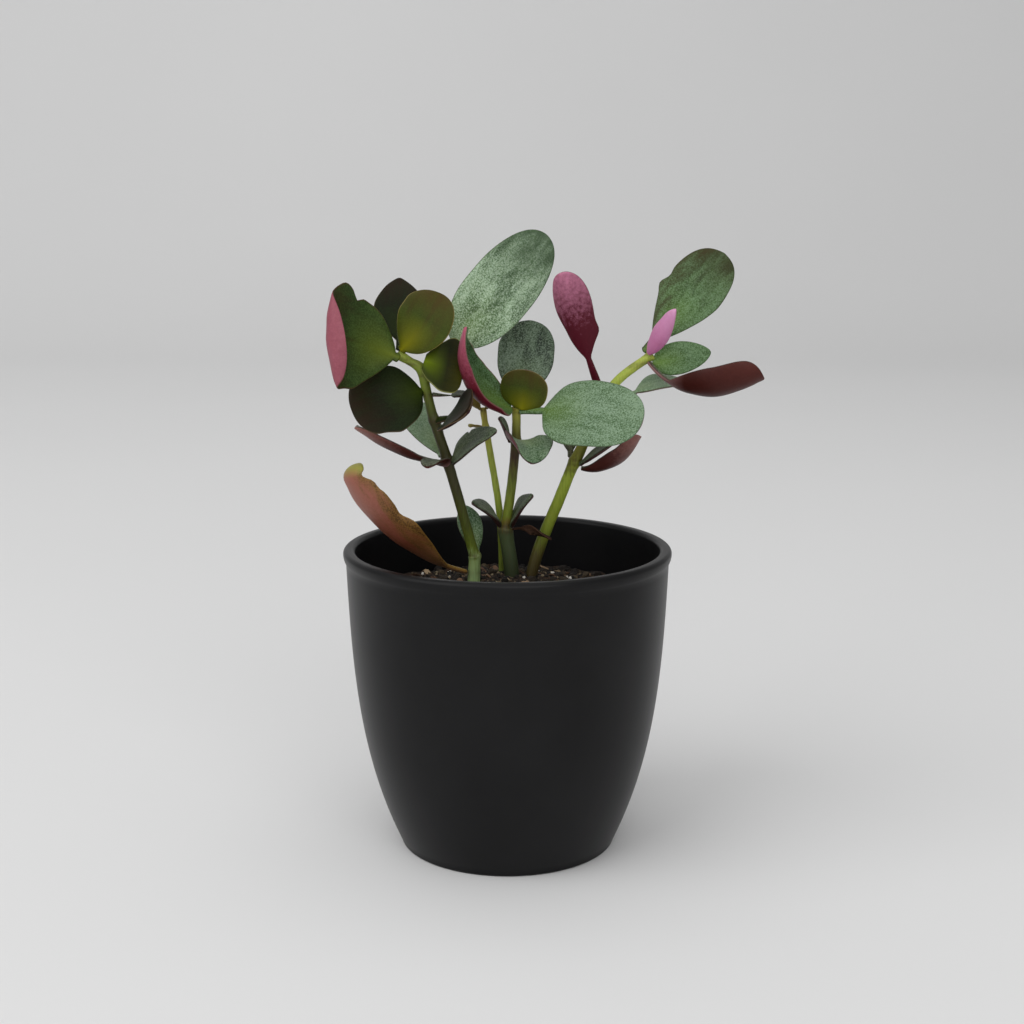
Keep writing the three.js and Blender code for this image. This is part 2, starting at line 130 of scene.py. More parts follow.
def leaf_skin(name, upper, scales, frosted, mottle, mottled, glow, glowing, under, bloom, bloomed, margin,
              scorch="#33200e", scorched=0.0, roughness=0.46, shine=0.3, dusted=(0.85, 1.5),
              stain="#6a4a1c", stained=0.0, end="#8a8a3c", ended=0.0, fading=0.0,
              foot="#916b6a", footed=0.0):
    """A succulent leaf: waxy skin with pale scales and darker mottles above, coloured and bloomed below.

    The eye sees a satin surface, grainy where the scales lie, yellower towards the base where light comes
    through, and browned towards the tip where the sun has scorched it. An old leaf's left margin is stained
    and freckled, and its tip has gone yellow.
    """
    material, tree, shader = new_material(
        name, Roughness=roughness, IOR=1.42, Specular_IOR_Level=shine, Subsurface_Weight=0.08,
        Subsurface_Scale=1.2 * MM
    )
    shader.inputs["Subsurface Radius"].default_value = (0.9, 1.0, 0.3)
    leaf = add_node(tree, "ShaderNodeAttribute", attribute_name="leaf")
    place = add_node(tree, "ShaderNodeSeparateXYZ", {"Vector": leaf.outputs["Vector"]})
    along, across, above = place.outputs
    blade = add_node(tree, "ShaderNodeAttribute", attribute_name="blade").outputs["Vector"]
    room = add_node(tree, "ShaderNodeTexCoord").outputs["Object"]

    # clouds about 13 mm long and 4 mm wide, drawn out along the leaf like its veins
    stretch = add_node(tree, "ShaderNodeMapping", {"Vector": blade, "Scale": (0.075, 0.26, 1)})
    cloud = add_node(tree, "ShaderNodeTexNoise", {"Vector": stretch.outputs[0], "Scale": 1, "Detail": 4,
                                                  "Roughness": 0.65, "Distortion": 0.4})
    # scales about 0.5 mm apart, thinner where the clouds are dark
    grain = add_node(tree, "ShaderNodeTexNoise", {"Vector": room, "Scale": 1900, "Detail": 2,
                                                  "Roughness": 0.7})
    thin = add_node(tree, "ShaderNodeMath", {0: along, 1: -fading, 2: grain.outputs["Fac"]},
                    operation="MULTIPLY_ADD")
    thick = add_node(tree, "ShaderNodeMath", {0: cloud.outputs["Fac"], 1: -0.45, 2: thin.outputs[0]},
                     operation="MULTIPLY_ADD")
    fine = add_node(tree, "ShaderNodeMapRange",
                    {"Value": thick.outputs[0], LOW: 0.16, HIGH: 0.42, OUT_HIGH: frosted})
    dark = add_node(tree, "ShaderNodeMapRange",
                    {"Value": cloud.outputs["Fac"], LOW: 0.47, HIGH: 0.68, OUT_HIGH: mottled})
    base = add_node(tree, "ShaderNodeMapRange",
                    {"Value": along, LOW: 0.08, HIGH: 0.6, OUT_LOW: glowing, OUT_HIGH: 0.0})
    middle = add_node(tree, "ShaderNodeMath", {0: across}, operation="ABSOLUTE")
    narrow = add_node(tree, "ShaderNodeMapRange",
                      {"Value": middle.outputs[0], LOW: 0.0, HIGH: 0.8, OUT_LOW: 1.0, OUT_HIGH: 0.2})
    lit = add_node(tree, "ShaderNodeMath", {0: base.outputs[0], 1: narrow.outputs[0]}, operation="MULTIPLY")
    far = add_node(tree, "ShaderNodeMath", {0: cloud.outputs["Fac"], 1: 0.7, 2: along},
                   operation="MULTIPLY_ADD")
    sunned = add_node(tree, "ShaderNodeMapRange",
                      {"Value": far.outputs[0], LOW: 0.85, HIGH: 1.35, OUT_HIGH: scorched})
    top = paint(tree, linear(upper), [(dark.outputs[0], mottle), (fine.outputs[0], scales),
                                      (lit.outputs[0], glow), (sunned.outputs[0], scorch)])

    # powdery bloom on the underside, thicker towards the tip
    dust = add_node(tree, "ShaderNodeTexNoise", {"Vector": blade, "Scale": 0.7, "Detail": 6,
                                                 "Roughness": 0.8})
    farther = add_node(tree, "ShaderNodeMath", {0: dust.outputs["Fac"], 1: 0.8, 2: along},
                       operation="MULTIPLY_ADD")
    powder = add_node(tree, "ShaderNodeMapRange",
                      {"Value": farther.outputs[0], LOW: dusted[0], HIGH: dusted[1], OUT_HIGH: bloomed})
    start = add_node(tree, "ShaderNodeMapRange",
                     {"Value": along, LOW: 0.12, HIGH: 0.42, OUT_LOW: footed, OUT_HIGH: 0.0})
    bottom = paint(tree, linear(under), [(powder.outputs[0], bloom), (start.outputs[0], foot)])

    side = add_node(tree, "ShaderNodeMapRange", {"Value": above, LOW: -0.25, HIGH: 0.05})
    skin = paint(tree, bottom, [(side.outputs[0], top)])
    edge = add_node(tree, "ShaderNodeMath", {0: cloud.outputs["Fac"], 1: 1.6, 2: across},
                    operation="MULTIPLY_ADD")
    blot = add_node(tree, "ShaderNodeMapRange",
                    {"Value": edge.outputs[0], LOW: 1.2, HIGH: 1.7, OUT_HIGH: stained})
    freckle = add_node(tree, "ShaderNodeMapRange",
                       {"Value": thick.outputs[0], LOW: 0.3, HIGH: 0.2, OUT_HIGH: stained})
    freckled = add_node(tree, "ShaderNodeMath", {0: blot.outputs[0], 1: freckle.outputs[0]},
                        operation="MULTIPLY")
    tipped = add_node(tree, "ShaderNodeMapRange", {"Value": along, LOW: 0.9, HIGH: 0.95, OUT_HIGH: ended})
    skin = paint(tree, skin, [(blot.outputs[0], stain), (freckled.outputs[0], "#3a2412"),
                              (tipped.outputs[0], end)])
    rim = add_node(tree, "ShaderNodeMapRange",
                   {"Value": middle.outputs[0], LOW: 0.965, HIGH: 0.998, OUT_HIGH: 0.75})
    skin = paint(tree, skin, [(rim.outputs[0], margin)])
    tree.links.new(skin, shader.inputs["Base Color"])

    relief = add_node(tree, "ShaderNodeBump", {"Height": grain.outputs["Fac"], "Strength": 0.3,
                                               "Distance": 0.12 * MM})
    tree.links.new(relief.outputs[0], shader.inputs["Normal"])
    return material


LEAF_SKINS = {
    "silver": dict(upper="#4d6b41", scales="#aec2a8", frosted=0.85, mottle="#2c4429", mottled=0.75,
                   fading=-0.02,
                   glow="#86a034", glowing=0.35, under="#6d3a42", bloom="#a08088", bloomed=0.8,
                   margin="#3a4a2c",
                   scorch="#31462a", scorched=0.9),
    "frosted": dict(upper="#355027", scales="#88a085", frosted=0.72, mottle="#36532e", mottled=0.6,
                    fading=-0.06,
                    glow="#5f7c22", glowing=0.75, under="#6d3a42", bloom="#a08088", bloomed=0.8,
                    margin="#3a4a2c"),
    "streaked": dict(upper="#2c3e27", scales="#7c8e7a", frosted=0.7, mottle="#121d14", mottled=1.0,
                     glow="#6f8a4a", glowing=0.4, under="#4c2630", bloom="#8a5a68", bloomed=0.6,
                     margin="#20281a"),
    "pale": dict(upper="#66805e", scales="#9cb096", frosted=0.6, mottle="#4c6a48", mottled=0.5,
                 glow="#8a9a4a", glowing=0.4, under="#5c3a34", bloom="#8a6a64", bloomed=0.6,
                 margin="#4a3a30"),
    "grey": dict(upper="#333f2b", scales="#828e76", frosted=0.5, mottle="#1a2218", mottled=0.8, shine=0.2,
                 glow="#56601f", glowing=0.3, under="#3c2020", bloom="#6a4a4c", bloomed=0.5,
                 margin="#241814"),
    "green": dict(upper="#33511f", scales="#75906c", frosted=0.65, mottle="#203818", mottled=0.8,
                  glow="#6f9030", glowing=0.6, under="#4c2630", bloom="#8a5a68", bloomed=0.6,
                  margin="#33301c",
                  scorch="#2c2c0c", scorched=0.85, stain="#34360f", stained=0.6),
    "small": dict(upper="#385827", scales="#7e9a74", frosted=0.65, mottle="#28421e", mottled=0.6,
                  glow="#6f9030", glowing=0.6, under="#4c2630", bloom="#8a5a68", bloomed=0.6,
                  margin="#33301c"),
    "olive": dict(upper="#303c09", scales="#4a561c", frosted=0.35, mottle="#2f340e", mottled=0.7, shine=0.2,
                  glow="#777402", glowing=1.0, under="#6a3a3c", bloom="#a07a70", bloomed=0.5,
                  margin="#8a7a44",
                  scorch="#4a3410", scorched=0.6),
    "cup": dict(upper="#171c04", scales="#262e0c", frosted=0.25, mottle="#121705", mottled=0.9, shine=0.15,
                glow="#667a06", glowing=0.9, under="#4a4a10", bloom="#6a6a20", bloomed=0.5, margin="#8a8a50",
                scorch="#3c3a05", scorched=0.7),
    "spoon": dict(upper="#1c300b", scales="#485f30", frosted=0.5, mottle="#1c2c0e", mottled=0.8, shine=0.25,
                  glow="#626e0c", glowing=0.8, under="#6e2c3a", bloom="#9c5a66", bloomed=0.85,
                  margin="#4a2c1c",
                  scorch="#3c260a", scorched=0.8),
    "dark": dict(upper="#101706", scales="#222f18", frosted=0.4, mottle="#0e1106", mottled=0.8, shine=0.12,
                 glow="#364408", glowing=0.6, under="#2a1418", bloom="#4a3034", bloomed=0.4, margin="#5a4a38",
                 scorch="#24170a", scorched=0.8),
    "crimson": dict(upper="#2f4a24", scales="#6f8e6a", frosted=0.55, mottle="#1c2e16", mottled=0.7,
                    glow="#688020", glowing=0.5, under="#5e1524", bloom="#b05a70", bloomed=1.0,
                    margin="#8a5058",
                    shine=0.25, dusted=(0.95, 1.5)),
    "blush": dict(upper="#2f4a24", scales="#6f8e6a", frosted=0.55, mottle="#1c2e16", mottled=0.7, shine=0.2,
                  glow="#688020", glowing=0.5, under="#4a0e1c", bloom="#b8748f", bloomed=1.0,
                  margin="#5a2434",
                  dusted=(1.0, 1.5)),
    "folded": dict(upper="#3c5a34", scales="#94a88e", frosted=0.6, mottle="#26381f", mottled=0.7,
                   glow="#7a9030", glowing=0.5, under="#5c1e2c", bloom="#8a4658", bloomed=0.6,
                   margin="#3a2a24"),
    "magenta": dict(upper="#4c5a34", scales="#8a9a7c", frosted=0.5, mottle="#33402c", mottled=0.5,
                    glow="#8a8a4c", glowing=0.4, under="#b9709a", bloom="#cc92b6", bloomed=0.9,
                    margin="#b87a94",
                    dusted=(0.7, 1.4)),
    "maroon": dict(upper="#3c4430", scales="#8a9080", frosted=0.5, mottle="#33251f", mottled=0.7,
                   glow="#7a7040", glowing=0.3, under="#34110c", bloom="#5c2c26", bloomed=0.6,
                   margin="#2a1210",
                   shine=0.2, footed=0.9),
    "russet": dict(upper="#4a5244", scales="#a09a90", frosted=0.7, mottle="#33251f", mottled=0.7,
                   glow="#6a6030", glowing=0.3, under="#4a2420", bloom="#94665e", bloomed=0.8,
                   margin="#2c1614",
                   shine=0.2),
    "salmon": dict(upper="#7a6a26", scales="#a09046", frosted=0.5, mottle="#4a3018", mottled=0.8,
                   glow="#9a602a", glowing=0.6, under="#6c3820", bloom="#8c5648", bloomed=0.9,
                   margin="#7a5a24",
                   dusted=(0.7, 1.2), stain="#735626", stained=0.85, ended=0.9, foot="#8a6a4c", footed=0.8),
    "dried": dict(upper="#2e1c12", scales="#4a3426", frosted=0.6, mottle="#160d09", mottled=0.9,
                  glow="#3c281a", glowing=0.4, under="#1c110c", bloom="#3a261c", bloomed=0.6,
                  margin="#5a4030",
                  roughness=0.75, shine=0.2),
    "bud": dict(upper="#8a8434", scales="#b0b060", frosted=0.5, mottle="#5a3a1c", mottled=0.8,
                glow="#9aa040", glowing=0.8, under="#7a6a34", bloom="#a89a60", bloomed=0.6, margin="#6a4a2a"),
}


def stem_skin(name, stops):
    """Stem bark that is still green: smooth, a little glossy, streaked lengthwise, brown at leaf scars."""
    material, tree, shader = new_material(
        name, Roughness=0.45, IOR=1.42, Specular_IOR_Level=0.3, Subsurface_Weight=0.08,
        Subsurface_Scale=1.0 * MM
    )
    marks = add_node(tree, "ShaderNodeAttribute", attribute_name="stem")
    rise, scar, _ = add_node(tree, "ShaderNodeSeparateXYZ", {"Vector": marks.outputs["Vector"]}).outputs
    room = add_node(tree, "ShaderNodeTexCoord").outputs["Object"]
    # streaks half a millimetre wide and about 8 mm long
    stretch = add_node(tree, "ShaderNodeMapping", {"Vector": room, "Scale": (1800, 1800, 120)})
    streak = add_node(tree, "ShaderNodeTexNoise", {"Vector": stretch.outputs[0], "Scale": 1, "Detail": 3})
    shifted = add_node(tree, "ShaderNodeMath", {0: streak.outputs["Fac"], 1: 0.16, 2: rise},
                       operation="MULTIPLY_ADD")
    level = add_node(tree, "ShaderNodeMath", {0: shifted.outputs[0], 1: 0.08}, operation="SUBTRACT")
    colour = add_node(tree, "ShaderNodeValToRGB", {"Fac": level.outputs[0]}, stops=stops)
    shade = add_node(tree, "ShaderNodeMapRange",
                     {"Value": streak.outputs["Fac"], LOW: 0.45, HIGH: 0.75, OUT_HIGH: 0.35})
    skin = paint(tree, colour.outputs[0], [(shade.outputs[0], "#2c2a14"), (scar, "#3c2a1a")])
    tree.links.new(skin, shader.inputs["Base Color"])
    relief = add_node(tree, "ShaderNodeBump", {"Height": streak.outputs["Fac"], "Strength": 0.4,
                                               "Distance": 0.15 * MM})
    tree.links.new(relief.outputs[0], shader.inputs["Normal"])
    return material


STEM_COLOURS = {
    "stem_left": [(0.0, "#7f9463"), (0.1, "#7d9058"), (0.14, "#5c6a22"), (0.24, "#4a5220"), (0.42, "#3b3820"),
                  (0.7, "#3f3f20"), (0.85, "#6c7a2c"), (1.0, "#8a9a3c")],
    "stem_middle": [(0.0, "#2c3420"), (0.26, "#465234"), (0.31, "#7a6a30"), (0.34, "#7d8a32"),
                    (0.55, "#66702c"), (0.7, "#4a3428"), (0.82, "#5a5a28"), (1.0, "#a0a040")],
    "stem_back": [(0.0, "#6a7830"), (0.3, "#8a9a38"), (0.7, "#a0ac48"), (1.0, "#a89a48")],
    "stem_right": [(0.0, "#3a3018"), (0.1, "#4a4420"), (0.2, "#77842c"), (0.45, "#93a436"), (0.55, "#7a7a30"),
                   (0.75, "#98aa3c"), (1.0, "#a8b450")],
}


def pot_glaze():
    """Stoneware with a matt black glaze: an even near-black, softly shining, with a faint grain."""
    # a matt glaze scatters most of its shine, so less than a gloss glaze's comes back
    material, tree, shader = new_material(
        "stoneware_matt_black_glaze", Roughness=0.36, IOR=1.5, Specular_IOR_Level=0.16
    )
    room = add_node(tree, "ShaderNodeTexCoord").outputs["Object"]
    grain = add_node(tree, "ShaderNodeTexNoise", {"Vector": room, "Scale": 2200, "Detail": 2,
                                                  "Roughness": 0.6})
    drift = add_node(tree, "ShaderNodeTexNoise", {"Vector": room, "Scale": 28, "Detail": 3, "Roughness": 0.5})
    cloud = add_node(tree, "ShaderNodeMapRange", {"Value": drift.outputs["Fac"], LOW: 0.35, HIGH: 0.7})
    colour = paint(tree, linear("#0f0f10"), [(cloud.outputs[0], "#151516")])
    tree.links.new(colour, shader.inputs["Base Color"])
    relief = add_node(tree, "ShaderNodeBump", {"Height": grain.outputs["Fac"], "Strength": 0.25,
                                               "Distance": 0.06 * MM})
    tree.links.new(relief.outputs[0], shader.inputs["Normal"])
    return material


def peat():
    """Damp peat: nearly black, rough, flecked with brown at about 1.5 mm."""
    material, tree, shader = new_material("peat_damp_crumbled", Roughness=0.9, IOR=1.4)
    room = add_node(tree, "ShaderNodeTexCoord").outputs["Object"]
    fleck = add_node(tree, "ShaderNodeTexNoise", {"Vector": room, "Scale": 650, "Detail": 6,
                                                  "Roughness": 0.7})
    colour = add_node(tree, "ShaderNodeValToRGB", {"Fac": fleck.outputs["Fac"]},
                      stops=[(0.3, "#120d09"), (0.52, "#2a1e15"), (0.62, "#4a3626"), (0.78, "#7a6048")])
    tree.links.new(colour.outputs[0], shader.inputs["Base Color"])
    relief = add_node(tree, "ShaderNodeBump", {"Height": fleck.outputs["Fac"], "Strength": 0.9,
                                               "Distance": 1.0 * MM})
    tree.links.new(relief.outputs[0], shader.inputs["Normal"])
    return material


def crumbs_material(name, stops, roughness):
    """Loose bits whose colour differs from bit to bit, carried by each bit's own tone."""
    material, tree, shader = new_material(name, Roughness=roughness, IOR=1.45)
    tone = add_node(tree, "ShaderNodeAttribute", attribute_name="tone").outputs["Fac"]
    room = add_node(tree, "ShaderNodeTexCoord").outputs["Object"]
    fleck = add_node(tree, "ShaderNodeTexNoise", {"Vector": room, "Scale": 1500, "Detail": 4,
                                                  "Roughness": 0.7})
    mixed = add_node(tree, "ShaderNodeMath", {0: fleck.outputs["Fac"], 1: 0.3, 2: tone},
                     operation="MULTIPLY_ADD")
    level = add_node(tree, "ShaderNodeMath", {0: mixed.outputs[0], 1: 0.15},
                     operation="SUBTRACT", use_clamp=True)
    colour = add_node(tree, "ShaderNodeValToRGB", {"Fac": level.outputs[0]}, stops=stops)
    tree.links.new(colour.outputs[0], shader.inputs["Base Color"])
    relief = add_node(tree, "ShaderNodeBump", {"Height": fleck.outputs["Fac"], "Strength": 0.6,
                                               "Distance": 0.3 * MM})
    tree.links.new(relief.outputs[0], shader.inputs["Normal"])
    return material


def backdrop_paint():
    material, tree, shader = new_material("backdrop_matt_paint", Roughness=0.9)
    room = add_node(tree, "ShaderNodeTexCoord").outputs["Object"]
    drift = add_node(tree, "ShaderNodeTexNoise", {"Vector": room, "Scale": 1.5, "Detail": 2})
    colour = paint(tree, linear("#dedede"), [(drift.outputs["Fac"], "#e3e3e3")])
    tree.links.new(colour, shader.inputs["Base Color"])
    return material


# ---- shaping helpers ----
def finished(piece, name, material, *nodes):
    """Names and skins a piece, and sets it in the frame in place of its CAD nodes."""
    piece.name = name
    piece.data.materials.clear()
    piece.data.materials.append(material)
    bpy.ops.object.select_all(action="DESELECT")
    if nodes:
        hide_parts(*nodes)
    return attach(piece, "root")


def write_vectors(piece, name, vectors):
    layer = piece.data.attributes.new(name, "FLOAT_VECTOR", "POINT")
    layer.data.foreach_set("vector", [c for v in vectors for c in v])


def apply_modifier(piece, kind, **settings):
    bpy.context.view_layer.objects.active = piece
    modifier = piece.modifiers.new("shape", kind)
    for name, value in settings.items():
        setattr(modifier, name, value)
    bpy.ops.object.modifier_apply(modifier=modifier.name)


def turned(profile, sides):
    """A solid of revolution, drawn out of a disc through each (radius, height) in turn."""
    radius, height = profile[0]
    bpy.ops.mesh.primitive_circle_add(vertices=sides, radius=radius, fill_type="NGON",
                                      location=(0, 0, height))
    bpy.ops.object.mode_set(mode="EDIT")
    for wider, higher in profile[1:]:
        bpy.ops.mesh.extrude_region_move(TRANSFORM_OT_translate={"value": (0, 0, higher - height)})
        ratio = wider / radius
        bpy.ops.transform.resize(value=(ratio, ratio, 1), center_override=(0, 0, higher))
        radius, height = wider, higher
    bpy.ops.mesh.select_all(action="SELECT")
    bpy.ops.mesh.normals_make_consistent(inside=False)
    bpy.ops.object.mode_set(mode="OBJECT")
    bpy.ops.object.transform_apply(location=True, rotation=True, scale=True)
    return bpy.context.object


def arc(centre, height, radius, start, end, steps):
    angles = [math.radians(start + (end - start) * i / steps) for i in range(steps + 1)]
    return [(centre + radius * math.cos(a), height + radius * math.sin(a)) for a in angles]


# ---- pot ----
pot_low, pot_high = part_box("pot")
POT_HEIGHT = pot_high.z - pot_low.z
RIM_R = pot_high.x
FOOT_R = 39.5 * MM
WALL = 4.4 * MM
LIP_OUT = 0.8 * MM
LIP_ROUND = 1.6 * MM
LIP_HEIGHT = 5 * MM
POT_FLOOR = 5 * MM
FLOOR_ROUND = 3 * MM
FOOT_ROUND = 1.2 * MM
POT_SIDES = 160
# how the wall swells out into the lip: (distance inside the rim, height above the lip's lower edge) in mm
LIP_EASE = [(0.55, 0.8), (0.25, 1.6), (0.06, 2.5)]


def wall_radius(z):
    share = z / POT_HEIGHT
    swell = 1 - (1 - share) ** 3.2
    return FOOT_R + (RIM_R - LIP_OUT - FOOT_R) * (0.78 * swell + 0.22 * share)


def inner_radius(z):
    return wall_radius(z) - WALL + LIP_OUT


def make_pot():
    shoulder = POT_HEIGHT - LIP_HEIGHT
    outer = [POT_HEIGHT * (0.03 + 0.91 * (i / 30) ** 1.2) for i in range(31)]
    inner = [POT_HEIGHT * (0.95 - 0.875 * i / 30) for i in range(31)]
    low = POT_FLOOR + FLOOR_ROUND
    profile = [(FOOT_R * 0.9, 0.5 * MM), (FOOT_R * 0.94, 0.1 * MM), (FOOT_R * 0.95, 0)]
    profile += arc(wall_radius(FOOT_ROUND) - FOOT_ROUND, FOOT_ROUND, FOOT_ROUND, -90, 0, 6)
    profile += [(wall_radius(z), z) for z in outer]
    profile += [(wall_radius(shoulder), shoulder)]
    profile += [(RIM_R - inset * MM, shoulder + rise * MM) for inset, rise in LIP_EASE]
    profile += arc(RIM_R - LIP_ROUND, POT_HEIGHT - LIP_ROUND, LIP_ROUND, 0, 90, 8)
    profile += arc(RIM_R - WALL + LIP_ROUND, POT_HEIGHT - LIP_ROUND, LIP_ROUND, 90, 180, 8)
    profile += [(inner_radius(z), z) for z in inner]
    profile += arc(inner_radius(low) - FLOOR_ROUND, low, FLOOR_ROUND, 0, -90, 5)
    profile += [(inner_radius(low) * 0.5, POT_FLOOR)]
    pot = turned(profile, POT_SIDES)
    bpy.ops.object.shade_smooth_by_angle(angle=math.radians(35))
    return finished(pot, "pot_glazed", pot_glaze(), "pot")


# ---- soil ----
SOIL_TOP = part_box("soil")[1].z
MOUND_RISE = 6 * MM
MOUND_MIDDLE = Vector((0, 9 * MM))
MOUND_R = 34 * MM
SOIL_GAP = 0.5 * MM  # between the soil and the pot
SOIL_SIDES = 150
SOIL_RINGS = 64
CRUMB_SEED, CLOD_SEED, CHIP_SEED, PERLITE_SEED, FIBRE_SEED = 5, 6, 7, 8, 9


def soil_height(x, y):
    far = (Vector((x, y)) - MOUND_MIDDLE).length / MOUND_R
    rise = math.cos(math.pi / 2 * far) if far < 1 else 0
    spot = Vector((x, y, 0)) / MM
    lumps = 0.9 * noise.noise(spot * 0.12) + 0.7 * noise.noise(spot * 0.35) + 0.35 * noise.noise(spot * 0.9)
    return SOIL_TOP - MOUND_RISE * (1 - rise) + (lumps - 0.8) * MM


def make_soil():
    edge = SOIL_TOP - MOUND_RISE - 1.5 * MM
    low = POT_FLOOR + FLOOR_ROUND
    sides = [low + (edge - low) * i / 12 for i in range(13)]
    profile = [(inner_radius(low) - FLOOR_ROUND - SOIL_GAP, POT_FLOOR + SOIL_GAP)]
    profile += [(inner_radius(z) - SOIL_GAP, z) for z in sides]
    rim = profile[-1][0]
    profile += [(rim * (1 - i / SOIL_RINGS) ** 0.9, edge) for i in range(1, SOIL_RINGS)]
    soil = turned(profile, SOIL_SIDES)
    for vertex in soil.data.vertices:
        if vertex.co.z > edge - 0.01 * MM:
            vertex.co.z = soil_height(vertex.co.x, vertex.co.y)
    bpy.ops.object.shade_smooth()
    return finished(soil, "potting_soil", peat(), "soil")


def scattered(name, template, count, place, material, seed):
    """Copies of a small shape, each placed by place(random) as (matrix, tone), joined as one loose layer."""
    rnd = random.Random(seed)
    corners = [v.co.copy() for v in template.data.vertices]
    sides = [tuple(p.vertices) for p in template.data.polygons]
    points, faces, tones = [], [], []
    for _ in range(count):
        matrix, tone = place(rnd)
        first = len(points)
        points += [matrix @ (c * (1 + rnd.uniform(-0.22, 0.22))) for c in corners]
        faces += [tuple(first + i for i in side) for side in sides]
        tones += [tone] * len(corners)
    mesh = bpy.data.meshes.new(name)
    mesh.from_pydata(points, [], faces)
    layer = mesh.attributes.new("tone", "FLOAT", "POINT")
    layer.data.foreach_set("value", tones)
    piece = bpy.data.objects.new(name, mesh)
    scene.collection.objects.link(piece)
    bpy.data.objects.remove(template)
    piece = finished(piece, name, material)
    return piece


def on_soil(rnd, size, sunk=0.3, outer=52 * MM, flat=1.0, long=1.0):
    """A random place, turn and size on the soil's surface."""
    radius = outer * math.sqrt(rnd.random())
    angle = rnd.uniform(0, 2 * math.pi)
    x, y = radius * math.cos(angle), radius * math.sin(angle)
    scale = size(rnd)
    turn = Matrix.Rotation(rnd.uniform(0, 6.3), 4, "Z") @ Matrix.Rotation(rnd.gauss(0, 0.5), 4, "X")
    lean = turn @ Matrix.Rotation(rnd.gauss(0, 0.4), 4, "Y")
    shape = Matrix.Diagonal((scale * long, scale, scale * flat, 1))
    z = soil_height(x, y) + scale * flat * (1 - 2 * sunk)
    return Matrix.Translation((x, y, z)) @ lean @ shape


def make_soil_bits():
    earth = [(0.0, "#0d0a07"), (0.35, "#1f1811"), (0.6, "#332a1c"), (0.8, "#5a4c38"), (1.0, "#94866c")]
    bpy.ops.mesh.primitive_ico_sphere_add(subdivisions=1, radius=1)
    scattered("soil_crumbs", bpy.context.object, 3600,
              lambda r: (on_soil(r, lambda q: q.uniform(0.25, 0.8) * MM, flat=0.8), r.random() ** 1.3),
              crumbs_material("peat_loose_crumbs", earth, 0.9), CRUMB_SEED)
    bpy.ops.mesh.primitive_ico_sphere_add(subdivisions=2, radius=1)
    scattered("soil_clods", bpy.context.object, 420,
              lambda r: (on_soil(r, lambda q: q.uniform(0.8, 2.0) * MM, 0.4, flat=0.75),
                         r.random() ** 1.6 * 0.7),
              crumbs_material("peat_clods", earth, 0.95), CLOD_SEED)
    bark = [(0.0, "#24170e"), (0.4, "#4a3222"), (0.75, "#745842"), (1.0, "#a08a6c")]
    bpy.ops.mesh.primitive_cube_add(size=2)
    bpy.ops.object.mode_set(mode="EDIT")
    bpy.ops.mesh.bevel(offset=0.45, segments=1)
    bpy.ops.object.mode_set(mode="OBJECT")
    scattered("bark_chips", bpy.context.object, 210,
              lambda r: (on_soil(r, lambda q: q.uniform(0.45, 1.05) * MM, 0.2, flat=0.35,
                                 long=r.uniform(1.4, 3)), r.random()),
              crumbs_material("pine_bark_chopped", bark, 0.85), CHIP_SEED)
    pearl = [(0.0, "#8a8478"), (0.5, "#c0bab0"), (1.0, "#dcd8d0")]
    bpy.ops.mesh.primitive_ico_sphere_add(subdivisions=2, radius=1)
    scattered("perlite_grains", bpy.context.object, 70,
              lambda r: (on_soil(r, lambda q: q.uniform(0.3, 0.85) * MM, 0.2), r.random()),
              crumbs_material("perlite_expanded", pearl, 0.8), PERLITE_SEED)
    # coir fibres: thin rods, each bowed in the middle
    bpy.ops.mesh.primitive_cylinder_add(vertices=5, radius=1, depth=2)
    bpy.ops.object.mode_set(mode="EDIT")
    bpy.ops.mesh.select_all(action="SELECT")
    bpy.ops.mesh.bisect(plane_co=(0, 0, 0), plane_no=(0, 0, 1))
    bpy.ops.object.mode_set(mode="OBJECT")
    rod = bpy.context.object
    for vertex in rod.data.vertices:
        vertex.co = Vector((vertex.co.z, vertex.co.x, vertex.co.y + 1.2 * (1 - vertex.co.z ** 2)))
    scattered("coir_fibres", rod, 130,
              lambda r: (on_soil(r, lambda q: 0.11 * MM, -1.5, long=r.uniform(14, 38), flat=1.2), r.random()),
              crumbs_material("coir_dry_fibre", bark, 0.8), FIBRE_SEED)


# ---- stems ----
MERGE = 0.001 * MM  # vertices of a CAD mesh that are closer than this are one
BARK_GRAIN = 1.1 * MM
BARK_RELIEF = 0.09 * MM
SCAR_BELOW = 0.7 * MM  # a leaf scar sits this far below the root of its leaf
SCAR_HALF = 0.9 * MM


